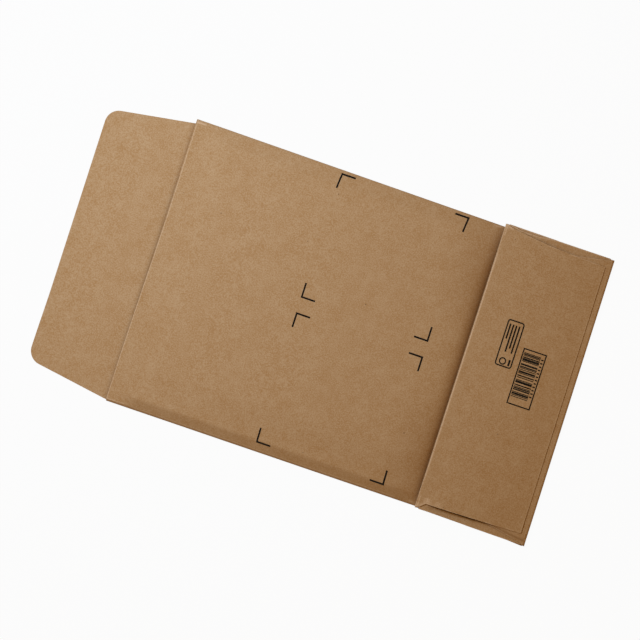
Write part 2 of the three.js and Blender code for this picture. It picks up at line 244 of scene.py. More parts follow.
def panel_waves(x, y):
    """Small waves of the front panel, away from its folds."""
    places = zip(x / WAVE_LENGTH, y / WAVE_LENGTH)
    wave = np.array([noise.noise(Vector((u, v, 0))) for u, v in places])
    distances = (HELD_Y - np.abs(y), x - MOUTH_X, FOLD_X - x)
    for distance, margin, growth in zip(distances, WAVE_MARGINS, WAVE_GROWTHS):
        wave = wave * smooth((distance - margin) / growth)
    return WAVE_HEIGHT * wave


def score_depth(x, y):
    """Depth of the pressed line along which the closing flap folds."""
    uneven = np.array([noise.noise(Vector((v / SCORE_UNEVEN, 0, 0))) for v in y])
    across = (MOUTH_X - x - SCORE_TO_MOUTH) / SCORE_WIDTH
    return SCORE_DEPTH * (1 + uneven) * np.exp(-across * across)


def flap_lift(x):
    """How far the closing flap stands off the table beside its score."""
    out = MOUTH_X - x
    rise = 1 - np.clip(1 - out / FLAP_RISE_LENGTH, 0, 1) ** 2
    return FLAP_RISE * rise * (1 - smooth((out - FLAP_RISE_LENGTH) / FLAP_FALL_LENGTH))


def side_splay(x, y, z):
    """How far the body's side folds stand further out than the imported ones."""
    ahead = np.clip((x - MOUTH_X) / (FOLD_X - MOUTH_X), 0, 1)
    sides = [a + (b - a) * ahead for a, b in zip(SPLAY_AT_MOUTH, SPLAY_AT_FOLD)]
    free = smooth((z - SHEET / 2) / PITCH) + smooth((x - MOUTH_X) / SPLAY_START)
    share = np.clip(free, 0, 1) * (1 - smooth((x - FOLD_X) / DIP_END))
    return np.where(y > 0, *sides) * share * y / SIDE_Y


def band_root(x):
    """Height below which the layers of the folded bottom stay as they are."""
    return top_of(FRONT_LAYER) + PART_LAYER - ROOT_DROP * past_half(x)


def band_height(x, y, z):
    """The height that a point of the folded bottom has once the bottom is softly crowned."""
    root = band_root(x)
    top = top_of(TOP_LAYER) - LAYERS_THAT_TURN * PITCH * past_half(x)
    t = past_fold(x)
    crown = BAND_SWELL * np.sin(math.pi * t) ** 2
    pressed = FOLD_PRESS * (1 - smooth(t / FOLD_PRESS_END)) + BAND_DROP * smooth(past_half(x))
    kink = KINK * np.exp(-(((t - 0.5) / KINK_WIDTH) ** 2))
    share = (top + crown - pressed - kink - root) / (top - root)
    sink = END_SINK * smooth((-y - END_SINK_START) / END_SINK_WIDTH)
    sink = sink * smooth((x - END_SINK_X) / END_SINK_EASES[0])
    sink = sink * (1 - smooth((x - END_SINK_END_X) / END_SINK_EASES[1]))
    share *= 1 - sink * (level_of(x, z) < RIM_LEVELS[1])
    return np.where(z > root, root + (z - root) * share, z)


def lip_reach(x):
    """How far the outer lip's +Y edge lies further out."""
    root = smooth((x - FOLD_X - LIP_REACH_START) / LIP_REACH_EASE)
    return LIP_REACH * root * (1 - smooth((x - FOLD_X) / LIP_REACH_LENGTH))


def lip_edge(x):
    """How far from the middle the outer lip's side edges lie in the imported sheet."""
    return LIP_SHOULDER[1] - LIP_TAPER * (x - LIP_SHOULDER[0]) / (BOTTOM_X - LIP_SHOULDER[0])


def under_lip_spread(x, y):
    """How far a point near the under lip's side edges lies further out."""
    near = smooth((np.abs(y) - UNDER_LIP_EDGE) / UNDER_LIP_SPREAD_WIDTH + 1)
    past = np.clip((np.abs(y) - UNDER_LIP_EDGE) / (UNDER_LIP_ROOT[1] - UNDER_LIP_EDGE), 0, 1)
    wider = UNDER_LIP_SPREAD * smooth((x - UNDER_LIP_SPREAD_X) / UNDER_LIP_SPREAD_LENGTH)
    return wider * near * (1 - past)


def under_lip_edge(x):
    """How far from the middle the under lip's side edges lie once it has spread."""
    left = np.clip((UNDER_LIP_ROOT[0] - x) / UNDER_LIP_FILLET, 0, 1)
    edge = UNDER_LIP_EDGE + (UNDER_LIP_ROOT[1] - UNDER_LIP_EDGE) * (1 - left**0.5) ** 2
    return edge + under_lip_spread(x, edge)


def rim_inset(x, y, level):
    """How far an end's upper fold lies further in than its lower one."""
    inset = np.where(y > 0, RIM_INSETS[0], -RIM_INSETS[1])
    inset *= smooth((x - RIM_X) / RIM_EASES[0]) * (1 - smooth((x - RIM_END_X) / RIM_EASES[1]))
    inset *= smooth((np.abs(y) - RIM_START) / RIM_LENGTH)
    return inset * ((level > RIM_LEVELS[0]) & (level < RIM_LEVELS[1]))


def lips_drawn(x, y, level):
    """How far a point of the two lips is drawn across the envelope."""
    drawn = np.where(y > 0, lip_reach(x), LIP_DRAW) * (level > LIP_LEVEL - PART_LAYER)
    drawn = drawn * smooth((np.abs(y) - LIP_EDGE_START) / LIP_EDGE_LENGTH)
    on_under_lip = (level > UNDER_LIP_LEVELS[0]) & (level < UNDER_LIP_LEVELS[1])
    return drawn + np.sign(y) * under_lip_spread(x, y) * on_under_lip


def band_skew(x, y, z):
    """Where a point of the folded bottom lies across the envelope."""
    t = past_fold(x)
    scale, shift = (a + (b - a) * t for a, b in zip(SKEW_AT_FOLD, SKEW_AT_END))
    bulge = np.where(y > 0, *END_BULGE) * (1 - t) * np.sign(y)
    bulge *= smooth((np.abs(y) - END_BULGE_START) / END_BULGE_LENGTH)
    level = level_of(x, z)
    moved = y * scale + shift + bulge + lips_drawn(x, y, level) - rim_inset(x, y, level)
    share = smooth((z - band_root(x) + SKEW_START) / SKEW_HEIGHT)
    return y + share * (moved - y)


def moved_along(x, y, z):
    """Where a point lies along the envelope, whose ends and mouth aren't quite square."""
    out = np.clip((MOUTH_X - x) / FLAP_LENGTH, 0, 1)
    end = END_SKEW * past_fold(x) * y / SIDE_Y
    tip = FLAP_REACH * out * smooth((-y - FLAP_REACH_START) / FLAP_REACH_WIDTH)
    down = smooth((MOUTH_SKEW_START - y) / MOUTH_SKEW_WIDTH)
    mouth = MOUTH_SKEWS[0] + (MOUTH_SKEWS[1] - MOUTH_SKEWS[0]) * down
    mouth *= 1 - smooth((x - MOUTH_X) / MOUTH_SKEW_LENGTH)
    mouth *= (x > MOUTH_X - NEAR) & (z > FRONT_LOW - PART_LAYER)
    return x + end - tip + mouth


def lip_shift(x, y, z):
    """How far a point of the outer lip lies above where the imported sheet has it."""
    at_root = 1 - smooth((x - LIP_ROOT_X) / LIP_ROOT_LENGTH)
    floor = LIP_FLOORS[1] + (LIP_FLOORS[0] - LIP_FLOORS[1]) * at_root
    on_lip = np.clip((level_of(x, z) - floor) / (LIP_LEVEL - floor), 0, 1)
    near_edge = smooth((np.abs(y) - LIP_EDGE_START) / LIP_EDGE_LENGTH)
    pressed = -(LIP_PRESS + LIP_ROOT_PRESS * at_root)
    lifted = LIP_LIFT * (1 - smooth((x - HALF_X) / LIP_FREE_LENGTH))
    side = np.where(y > 0, pressed, pressed * at_root + lifted * (1 - at_root))
    free_end = -LIP_PRESS * smooth((x - BOTTOM_X) / LIP_FREE_LENGTH + 1)
    return on_lip * (side * near_edge + free_end * (1 - near_edge))


def bend(points, upper):
    """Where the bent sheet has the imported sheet's points. Upper says which lie on an upward face."""
    x, y, z = points.T
    on_front = (x > MOUTH_X - NEAR) & (x < FOLD_X - NEAR)
    on_front &= (np.abs(y) < HELD_Y) & (z > FRONT_LOW - PART_LAYER)
    on_flap = x < MOUTH_X - NEAR
    in_band = x > FOLD_X - NEAR

    panel = FRONT_LOW + SHEET * upper + panel_lift(x, y) + panel_waves(x, y)
    flap = z + flap_lift(x) - score_depth(x, y) * upper
    band = band_height(x, y, z + lip_shift(x, y, z))
    lower = z < band_root(x)
    new_z = np.select([on_front, on_flap, in_band], [panel, flap, band], z)
    new_z -= np.where((on_front | lower) & ~on_flap, fold_dip(x, y, z), 0)

    flap_y = y + FLAP_SKEW * (MOUTH_X - x) / FLAP_LENGTH
    body_y = y + side_splay(x, y, z)
    new_y = np.select([on_flap, in_band & ~lower], [flap_y, band_skew(x, y, z)], body_y)
    return np.column_stack([moved_along(x, y, z), new_y, new_z])


# How finely the sheet is cut, and what counts as one of its cut edges.
GRID_STEP = 4
FINE_STEP = 1.4
SCORE_STEP = 0.25
SIDE_STEP = 0.8
SIDE_ZONE = 14
MERGE = 2e-3  # points closer together than this are one
FLAT = math.radians(0.2)  # faces that bend less than this are one
UPWARD = 0.5  # least Z of an upper face's normal
CUT_ANGLE = math.radians(60)
CUT_WIDTH = 0.7
SHARP = math.radians(40)

# Where the card is rubbed pale with a painted highlight, or darkened with painted shade.
RUB_AND_HIGHLIGHT_WIDTH = 0.9
RUB_AND_HIGHLIGHT_FROM, RUB_AND_HIGHLIGHT_FULL = math.radians(8), math.radians(14)  # bends from which a fold is rubbed pale and given a painted highlight
END_RUB_AND_HIGHLIGHT = 0.45  # share of that rub and painted highlight at the bottom fold
FOLD_SHADE_LENGTH = 9  # of the strip of painted shade before the bottom's near fold
FOLD_SHADE_GAIN = 0.3  # how much darker and longer that strip is at the +Y side
FOLD_SHADE_GAIN_WIDTH = 60
CORNER_SHADE = 0.5  # how much painted shade the panel's corners have beside that strip
CORNER_SHADE_START = 15
CORNER_SHADE_WIDTH = 45
CORNER_SHADE_LENGTH = 42
LIP_SHADES = (0.6, 3.2)  # of the line of painted shade beside the outer lip's +Y and -Y edge
UNDER_LIP_SHADE = 2
RIM_SHADE = 0.8  # painted shade of the -Y side fold
EDGE_SHADE_WIDTH = 0.8
EDGE_SHADE_OFFSET = 0.5  # from the edge to the darkest line, in widths
LIP_SHADE_FADE = 0.5  # share that fades towards the bottom fold
LIP_SHADE_EASE = 6
SCORE_STRIP = 0.8  # how dark the soft strip of painted shade beside the mouth is
SCORE_STRIP_POWER = 1.5
SCORE_STRIP_UNEVEN = 0.15
SCORE_SHADE = 0.5  # how dark the line in it is


def spaced(start, stop, step):
    """Places from start to stop, evenly spaced by about a step, without the two ends."""
    count = max(2, round((stop - start) / step))
    return [start + (stop - start) * i / count for i in range(1, count)]


def grid_places():
    """Where the sheet is cut across X and across Y, closer together near its slopes."""
    score_x = MOUTH_X - 2 * SCORE_TO_MOUTH
    rise_x = MOUTH_X - 3 * FLAP_RISE_LENGTH
    along = spaced(TIP_X, rise_x, GRID_STEP) + spaced(rise_x, score_x, FINE_STEP)
    along += spaced(score_x, MOUTH_X, SCORE_STEP) + [MOUTH_X + RUB_AND_HIGHLIGHT_WIDTH, MOUTH_X + 2 * RUB_AND_HIGHLIGHT_WIDTH]
    along += spaced(MOUTH_X, CREST_X, GRID_STEP) + spaced(CREST_X, FOLD_X, FINE_STEP) + [FOLD_X]
    along += spaced(FOLD_X, BOTTOM_X, GRID_STEP) + [BOTTOM_X - LIP_MARGIN - RUB_AND_HIGHLIGHT_WIDTH]
    inner = SIDE_Y - SIDE_ZONE
    across = spaced(-inner, inner, GRID_STEP)
    for side in (-1, 1):
        across += [side * (inner + d) for d in np.arange(0, SIDE_ZONE - SIDE_STEP / 2, SIDE_STEP)]
    return along, across


def cut_at(mesh, along, across):
    """Cuts a bmesh along planes across X and across Y, at places in millimetres."""
    for axis, places in ((Vector((1, 0, 0)), along), (Vector((0, 1, 0)), across)):
        for place in places:
            geometry = mesh.verts[:] + mesh.edges[:] + mesh.faces[:]
            bmesh.ops.bisect_plane(
                mesh, geom=geometry, dist=NEAR / 2 * MM, plane_co=axis * place * MM, plane_no=axis
            )


def bent_sheet():
    """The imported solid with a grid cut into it, as a bent bmesh in metres, and its packed points."""
    mesh = bmesh.new()
    mesh.from_mesh(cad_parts["envelope"].data)
    bmesh.ops.remove_doubles(mesh, verts=mesh.verts, dist=MERGE * MM)
    bmesh.ops.dissolve_limit(mesh, angle_limit=FLAT, verts=mesh.verts, edges=mesh.edges)
    cut_at(mesh, *grid_places())
    mesh.normal_update()
    packed = np.array([v.co for v in mesh.verts]) / MM
    upper = np.array([any(f.normal.z > UPWARD for f in v.link_faces) for v in mesh.verts])
    for vertex, point in zip(mesh.verts, bend(packed, upper)):
        vertex.co = point * MM
    mesh.normal_update()
    return mesh, packed


def is_cut_edge(face):
    """Whether a face is a cut edge of the card: narrow, with sharp corners along both long sides."""
    long_edges = sorted(face.edges, key=lambda e: e.calc_length())[-2:]
    sharp = [e.calc_face_angle(0) > CUT_ANGLE for e in long_edges]
    return all(sharp) and face.calc_area() < CUT_WIDTH * MM * long_edges[-1].calc_length()


def add_object(name, mesh, *materials):
    """An object that rides with the envelope, made from a bmesh."""
    data = bpy.data.meshes.new(name)
    mesh.to_mesh(data)
    mesh.free()
    piece = bpy.data.objects.new(name, data)
    bpy.context.scene.collection.objects.link(piece)
    for material in materials:
        data.materials.append(material)
    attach(piece, "root")
    return piece


# Materials
KRAFT = (0.466, 0.287, 0.1415)
GRAIN_CONTRAST = (0.115, 0.195, 0.325)  # of light and dark fibres, in red, green and blue
# paler colour along folds: partly wear, partly a painted highlight
RUB_AND_HIGHLIGHT = (0.68, 0.48, 0.30)
# colour of painted shade, and of the darker line along the mouth's fold
CREASE_AND_SHADE = (0.25, 0.12, 0.04)
# colour of the painted shadow in a gap
GAP_SHADOW = (0.03, 0.018, 0.01)
SPECK = (0.09, 0.05, 0.028)
FLECK = (0.62, 0.47, 0.31)
# paler cut edges: partly the card's own colour, partly a painted highlight
EDGE = (0.60, 0.41, 0.235)
INK = (0.009, 0.007, 0.005)
GRAIN_SIZE = 0.9
GRAIN_GAIN = 2.75
CLOUD_SIZE = 12
CLOUD_GAIN = 1.5
PALE_FIBRES = ((0.35, 2.2, 0.28, 1.0), (-0.9, 1.8, 0.24, 2.0))  # angle, length, width and seed
DARK_FIBRES = ((0.1, 2.0, 0.26, 3.0), (1.3, 1.6, 0.22, 4.0))
FIBRE_MASK = (0.60, 0.72)
FIBRE_GAIN = 0.30
FIBRE_HEIGHTS = (0.5, -0.3)  # of pale and dark fibres in the relief
SPECKS = (11, 0.5, 0.5)  # spacing, share and radius
FLECKS = (17, 0.4, 0.6)
SPECK_STRENGTH = 0.6
FLECK_STRENGTH = 0.35
RUB_AND_HIGHLIGHT_MASK = (0.15, 0.6)
RUB_AND_HIGHLIGHT_STRENGTH = 0.9
CREASE_AND_SHADE_STRENGTH = 0.4
GAP_SHADOW_MASK = (1.3, 2.6)  # painted shade values from which the card turns to the painted shadow of a gap
GAP_SHADOW_STRENGTH = 0.9
WORN_MASK = (0.52, 0.85)
WORN_STRENGTH = 0.12
RELIEF_DEPTH = 0.06
SPECULAR = 0.04
SHEEN = 0.01


class Nodes:
    """A short way to add nodes to a material or world and to link them."""

    def __init__(self, owner):
        owner.use_nodes = True
        self.tree = owner.node_tree
        self.tree.nodes.clear()

    def add(self, kind, inputs=(), **settings):
        """A node with its settings. An input is given by name or number, as a value or a socket."""
        node = self.tree.nodes.new(kind)
        for name, value in settings.items():
            setattr(node, name, value)
        for name, value in dict(inputs).items():
            if isinstance(value, bpy.types.NodeSocket):
                self.tree.links.new(value, node.inputs[name])
            else:
                node.inputs[name].default_value = value
        return node

    def math(self, operation, *values):
        """The result of a sum on sockets or numbers."""
        node = self.add("ShaderNodeMath", dict(enumerate(values)), operation=operation)
        return node.outputs[0]

    def mix(self, factor, first, second):
        """A blend of two colours."""
        node = self.add("ShaderNodeMix", {0: factor, 6: first, 7: second}, data_type="RGBA")
        return node.outputs[2]

    def between(self, value, low, high):
        """A soft step of a socket, from 0 at low to 1 at high."""
        inputs = {"Value": value, "From Min": low, "From Max": high}
        return self.add("ShaderNodeMapRange", inputs, interpolation_type="SMOOTHSTEP").outputs[0]


def rgba(colour):
    return (*colour, 1)


def fibres(nodes, place, angle, length, width, seed):
    """A mask of short fibres that lie along one direction, of about a length and width in mm."""
    turned = nodes.add("ShaderNodeMapping", {"Vector": place, "Rotation": (0, 0, angle)})
    scale = (1 / (length * MM), 1 / (width * MM), 1 / (width * MM))
    drawn = nodes.add("ShaderNodeMapping", {"Vector": turned.outputs[0], "Scale": scale})
    inputs = {"Vector": drawn.outputs[0], "W": seed, "Scale": 1.0, "Detail": 2.0, "Distortion": 0.8}
    field = nodes.add("ShaderNodeTexNoise", inputs, noise_dimensions="4D")
    return nodes.between(field.outputs[0], *FIBRE_MASK)


def spots(nodes, place, spacing, share, radius):
    """A mask of sparse round spots. Share is how many of the places have one."""
    cells = nodes.add("ShaderNodeTexVoronoi", {"Vector": place, "Scale": 1 / (spacing * MM)})
    chosen = nodes.add("ShaderNodeSeparateColor", {0: cells.outputs["Color"]}).outputs[0]
    size = nodes.math("MULTIPLY", nodes.between(chosen, 1 - share, 1.0), radius / spacing)
    return nodes.math("LESS_THAN", cells.outputs["Distance"], size)


def kraft_look(nodes, base):
    """Colour, grain and height of kraft card: fine grain, fibres of two tones, specks and flecks."""
    place = nodes.add("ShaderNodeTexCoord").outputs["Object"]

    def cloud(size, detail, roughness):
        inputs = {"Vector": place, "Scale": 1 / (size * MM), "Detail": detail, "Roughness": roughness}
        return nodes.add("ShaderNodeTexNoise", inputs).outputs[0]

    grain = cloud(GRAIN_SIZE, detail=2.0, roughness=0.6)
    clouds = cloud(CLOUD_SIZE, detail=4.0, roughness=0.9)
    pale = nodes.math("MAXIMUM", *[fibres(nodes, place, *kind) for kind in PALE_FIBRES])
    dark = nodes.math("MAXIMUM", *[fibres(nodes, place, *kind) for kind in DARK_FIBRES])

    tone = nodes.math("MULTIPLY_ADD", nodes.math("SUBTRACT", grain, 0.5), GRAIN_GAIN, 0.5)
    tone = nodes.math("MULTIPLY_ADD", nodes.math("SUBTRACT", clouds, 0.5), CLOUD_GAIN, tone)
    tone = nodes.math("MULTIPLY_ADD", pale, FIBRE_GAIN, tone)
    tone = nodes.math("MULTIPLY_ADD", dark, -FIBRE_GAIN, tone)
    darker = [c * (1 - k) for c, k in zip(base, GRAIN_CONTRAST)]
    paler = [c * (1 + k) for c, k in zip(base, GRAIN_CONTRAST)]
    colour = nodes.mix(tone, rgba(darker), rgba(paler))
    speck = nodes.math("MULTIPLY", spots(nodes, place, *SPECKS), SPECK_STRENGTH)
    colour = nodes.mix(speck, colour, rgba(SPECK))
    fleck = nodes.math("MULTIPLY", spots(nodes, place, *FLECKS), FLECK_STRENGTH)
    colour = nodes.mix(fleck, colour, rgba(FLECK))

    height = nodes.math("MULTIPLY_ADD", pale, FIBRE_HEIGHTS[0], grain)
    height = nodes.math("MULTIPLY_ADD", dark, FIBRE_HEIGHTS[1], height)
    return colour, grain, height


def finish_material(nodes, colour, roughness, height, bump):
    """A rough, slightly fuzzy surface with fine relief."""
    inputs = {"Strength": bump, "Distance": RELIEF_DEPTH * MM, "Height": height}
    relief = nodes.add("ShaderNodeBump", inputs).outputs[0]
    inputs = {"Base Color": colour, "Roughness": roughness, "Normal": relief}
    inputs.update({"Specular IOR Level": SPECULAR, "Sheen Weight": SHEEN, "Sheen Roughness": 0.6})
    shader = nodes.add("ShaderNodeBsdfPrincipled", inputs)
    nodes.add("ShaderNodeOutputMaterial", {"Surface": shader.outputs[0]})


def kraft_material():
    """The card's two faces: paler where a fold is rubbed and has a painted highlight, darker with
    painted shade and a painted gap shadow.
    """
    material = bpy.data.materials.new("kraft_card")
    nodes = Nodes(material)
    colour, grain, height = kraft_look(nodes, KRAFT)
    # folds are rubbed pale and given a painted highlight
    rub_and_highlight = nodes.add("ShaderNodeAttribute", attribute_name="fold").outputs["Fac"]
    rub_and_highlight = nodes.math("MULTIPLY", rub_and_highlight, nodes.between(grain, *RUB_AND_HIGHLIGHT_MASK))
    colour = nodes.mix(nodes.math("MULTIPLY", rub_and_highlight, RUB_AND_HIGHLIGHT_STRENGTH), colour, rgba(RUB_AND_HIGHLIGHT))
    # painted shade from the second attribute
    crease_and_shade = nodes.add("ShaderNodeAttribute", attribute_name="score_and_shade").outputs["Fac"]
    colour = nodes.mix(nodes.math("MULTIPLY", crease_and_shade, CREASE_AND_SHADE_STRENGTH), colour, rgba(CREASE_AND_SHADE))
    # strongest painted shade turns to a painted gap shadow
    gap_shadow = nodes.math("MULTIPLY", nodes.between(crease_and_shade, *GAP_SHADOW_MASK), GAP_SHADOW_STRENGTH)
    colour = nodes.mix(gap_shadow, colour, rgba(GAP_SHADOW))
    roughness = nodes.add("ShaderNodeMapRange", {"Value": grain, "To Min": 0.78, "To Max": 0.95})
    finish_material(nodes, colour, roughness.outputs[0], height, bump=0.35)
    return material


def edge_material():
    """The card's cut edges, where its fibres stand open: paler partly by their own colour and partly as
    a painted highlight.
    """
    material = bpy.data.materials.new("kraft_cut_edge")
    nodes = Nodes(material)
    colour, _, height = kraft_look(nodes, EDGE)
    finish_material(nodes, colour, roughness=0.95, height=height, bump=0.8)
    return material


def ink_material():
    """Black ink that has sunk into the card, so that grain shows through it."""
    material = bpy.data.materials.new("print_ink")
    nodes = Nodes(material)
    card, grain, height = kraft_look(nodes, KRAFT)
    worn = nodes.math("MULTIPLY", nodes.between(grain, *WORN_MASK), WORN_STRENGTH)
    colour = nodes.mix(worn, rgba(INK), card)
    finish_material(nodes, colour, roughness=0.7, height=height, bump=0.3)
    return material


# Print
INK_LIFT = 0.03
MARK_ARM = 11
MARK_STROKE = 1.3
QUADRANTS = ((1, 1), (-1, 1), (-1, -1), (1, -1))
MARKED_FIELDS = (  # the corners of each marked field, in the order of the quadrants
    ((83.5, 102.2), (-15.6, 102.8), (-14.5, 10.1), (84.3, 9.6)),
    ((84.4, -1.3), (-14.3, -0.7), (-14.0, -97.8), (84.8, -97.2)),
)

CODE_CENTRE = (160.3, 7.25)
CODE_SIZE = (17.5, 41.1)
CODE_STROKE = 0.9
CODE_RADIUS = 0.1
CODE_MARGIN = (1.4, 2.9)
BAR_LENGTH = 12.4
BAR_MODULE = 0.38
BAR_GAIN = 0.16  # how much wider each bar is, for the ink's spread
DASH_COUNT = 12
DASH_SIZE = (1.7, 1.0)
DASH_STEP = 2.5
DASH_MARGIN = (0.6, 4)  # from the ends of the bars, and from the frame's end
BAR_STRIDE = 5  # steps through the widths below, which mix them
BAR_WIDTHS = (1, 2, 1, 1, 3, 1, 2, 4, 1, 1, 2, 1, 3, 2, 1, 1, 4, 2, 1, 3, 1, 1, 2, 2)

LABEL_CENTRE = (140.85, 27.0)
LABEL_SIZE = (12.7, 34.0)
LABEL_RADIUS = 2.0
LABEL_STROKE = 0.95
LABEL_MARGIN = (2.6, 3.2)
LABEL_LINES = (20, 17, 20, 11)
LABEL_LINE_WIDTH = 1.15
LABEL_RING = (139.7, 14.0)
LABEL_RING_SIZE = 5.4
LABEL_TAB = (144.6, 14.0)
LABEL_TAB_SIZE = (1.4, 4.6)
LABEL_LINE_STEP = 2.3
ROUND_STEPS = 6
LEAST_RADIUS = 0.05  # of a frame's inner corners


def rectangle(xs, ys):
    """The corners of a rectangle between two places along X and two along Y."""
    (x0, x1), (y0, y1) = sorted(xs), sorted(ys)
    return [(x0, y0), (x1, y0), (x1, y1), (x0, y1)]


def corner_marks():
    """Four right-angled marks at the corners of each of two fields, each a corner and two arms."""
    shapes = []
    for field in MARKED_FIELDS:
        for (x, y), (sign_x, sign_y) in zip(field, QUADRANTS):
            inner_x, inner_y = x - sign_x * MARK_STROKE, y - sign_y * MARK_STROKE
            arm_x, arm_y = x - sign_x * MARK_ARM, y - sign_y * MARK_ARM
            shapes.append(rectangle((x, inner_x), (y, inner_y)))
            shapes.append(rectangle((inner_x, arm_x), (y, inner_y)))
            shapes.append(rectangle((x, inner_x), (inner_y, arm_y)))
    return shapes


def rounded_outline(centre, half_x, half_y, radius):
    """Points round a rectangle with rounded corners."""
    points = []
    for quarter, (sign_x, sign_y) in enumerate(QUADRANTS):
        x = centre[0] + sign_x * (half_x - radius)
        y = centre[1] + sign_y * (half_y - radius)
        for step in range(ROUND_STEPS + 1):
            angle = math.pi / 2 * (quarter + step / ROUND_STEPS)
            points.append((x + radius * math.cos(angle), y + radius * math.sin(angle)))
    return points


def frame_ring(centre, size, stroke, radius):
    """A rectangular ring with rounded corners, as quads round its outline."""
    outer = rounded_outline(centre, size[0] / 2, size[1] / 2, radius)
    inner_radius = max(radius - stroke, LEAST_RADIUS)
    inner = rounded_outline(centre, size[0] / 2 - stroke, size[1] / 2 - stroke, inner_radius)
    places = range(len(outer))
    return [[outer[i - 1], outer[i], inner[i], inner[i - 1]] for i in places]


def bar_field():
    """A frame with bars of mixed widths across it and a row of dashes at their ends."""
    shapes = frame_ring(CODE_CENTRE, CODE_SIZE, CODE_STROKE, CODE_RADIUS)
    left = CODE_CENTRE[0] - CODE_SIZE[0] / 2 + CODE_MARGIN[0]
    y = CODE_CENTRE[1] + CODE_SIZE[1] / 2 - CODE_MARGIN[1]
    for i in range(2 * len(BAR_WIDTHS)):
        chosen = (i * BAR_STRIDE + i // len(BAR_WIDTHS)) % len(BAR_WIDTHS)
        width = BAR_WIDTHS[chosen] * BAR_MODULE
        if i % 2 == 0:
            bar = (y - width - BAR_GAIN / 2, y + BAR_GAIN / 2)
            shapes.append(rectangle((left, left + BAR_LENGTH), bar))
        y -= width
    x = left + BAR_LENGTH + DASH_MARGIN[0]
    y = CODE_CENTRE[1] + CODE_SIZE[1] / 2 - DASH_MARGIN[1]
    for i in range(DASH_COUNT):
        top = y - DASH_STEP * i
        shapes.append(rectangle((x, x + DASH_SIZE[0]), (top - DASH_SIZE[1], top)))
    return shapes


def label_field():
    """A rounded frame with a few plain bars, a ring and a tab in it."""
    shapes = frame_ring(LABEL_CENTRE, LABEL_SIZE, LABEL_STROKE, LABEL_RADIUS)
    right = LABEL_CENTRE[0] + LABEL_SIZE[0] / 2 - LABEL_MARGIN[0]
    top = LABEL_CENTRE[1] + LABEL_SIZE[1] / 2 - LABEL_MARGIN[1]
    for i, length in enumerate(LABEL_LINES):
        x = right - LABEL_LINE_STEP * i
        shapes.append(rectangle((x - LABEL_LINE_WIDTH, x), (top - length, top)))
    shapes += frame_ring(LABEL_RING, (LABEL_RING_SIZE,) * 2, LABEL_STROKE, LABEL_RING_SIZE / 2)
    half_x, half_y = (size / 2 for size in LABEL_TAB_SIZE)
    x, y = LABEL_TAB
    shapes.append(rectangle((x - half_x, x + half_x), (y - half_y, y + half_y)))
    return shapes


def printed(name, shapes, surface, material):
    """A film of ink on the sheet: each shape is cut like the sheet and laid on the surface below it."""
    mesh = bmesh.new()
    for shape in shapes:
        mesh.faces.new([mesh.verts.new((x * MM, y * MM, 0)) for x, y in shape])
    bmesh.ops.remove_doubles(mesh, verts=mesh.verts, dist=MERGE * MM)
    along, across = grid_places()
    cut_at(mesh, along, across + [-HELD_Y, HELD_Y])
    for vertex in mesh.verts:
        hit = surface.ray_cast(vertex.co + Vector((0, 0, 1)), Vector((0, 0, -1)))[0]
        vertex.co.z = hit.z + INK_LIFT * MM
    film = bmesh.ops.extrude_face_region(mesh, geom=mesh.faces[:])
    for item in film["geom"]:
        if isinstance(item, bmesh.types.BMVert):
            item.co.z -= 2 * INK_LIFT * MM
    bmesh.ops.recalc_face_normals(mesh, faces=mesh.faces)
    add_object(name, mesh, material)


def score_shade(out, y):
    """How much painted shade the card has beside the mouth: a soft strip with an uneven darker line in
    it.
    """
    strip = SCORE_STRIP * max(0, 1 - out / FLAP_RISE_LENGTH) ** SCORE_STRIP_POWER
    uneven = noise.noise(Vector((y / SCORE_UNEVEN, 0, 0)))
    line = SCORE_SHADE * (1 + uneven) * math.exp(-(((out - SCORE_TO_MOUTH) / SCORE_WIDTH) ** 2))
    return min(1, strip * (1 + SCORE_STRIP_UNEVEN * uneven) + line)


def panel_shade(x, y):
    """How much painted shade the front panel has before the bottom's near fold, and in its corners
    there.
    """
    gain = 1 + FOLD_SHADE_GAIN * smooth(y / FOLD_SHADE_GAIN_WIDTH)
    corner = CORNER_SHADE * smooth((abs(y) - CORNER_SHADE_START) / CORNER_SHADE_WIDTH)
    return max(
        gain * smooth((x - FOLD_X) / (gain * FOLD_SHADE_LENGTH) + 1),
        corner * smooth((x - FOLD_X) / CORNER_SHADE_LENGTH + 1),
    )


def edge_line(y, edge):
    """A soft line of painted shade just outside an edge that lies at a distance from the middle."""
    across = (abs(y) - edge) / EDGE_SHADE_WIDTH - EDGE_SHADE_OFFSET
    return math.exp(-across * across)


def lip_shade(x, y, level):
    """How much painted shade the folded bottom's layers have beside the cut edges of the two lips."""
    fade = 1 - LIP_SHADE_FADE * smooth((x - HALF_X) / LIP_FREE_LENGTH)
    strength, further_out = (LIP_SHADES[0], lip_reach(x)) if y > 0 else (LIP_SHADES[1], -LIP_DRAW)
    lip = strength * fade * edge_line(y, lip_edge(x) + further_out)
    lip *= smooth((x - LIP_SHOULDER[0]) / LIP_SHADE_EASE)
    if level > UNDER_LIP_LEVELS[0]:
        return lip
    under = UNDER_LIP_SHADE * edge_line(y, under_lip_edge(x))
    return max(lip, under * smooth((x - UNDER_LIP_SPREAD_X) / LIP_SHADE_EASE))


def rub_and_highlight_strength(x, y, z):
    """How much a fold at a place is rubbed pale and given a painted highlight: fully on the front
    panel, on the bottom at its folds.
    """
    if x < FOLD_X - NEAR:
        return z > FRONT_LOW - PART_LAYER and y > -HELD_Y
    if x > BOTTOM_X - 2 * LIP_MARGIN:
        return END_RUB_AND_HIGHLIGHT
    return x < FOLD_X + 2 * RUB_AND_HIGHLIGHT_WIDTH or abs(y) > RIM_START


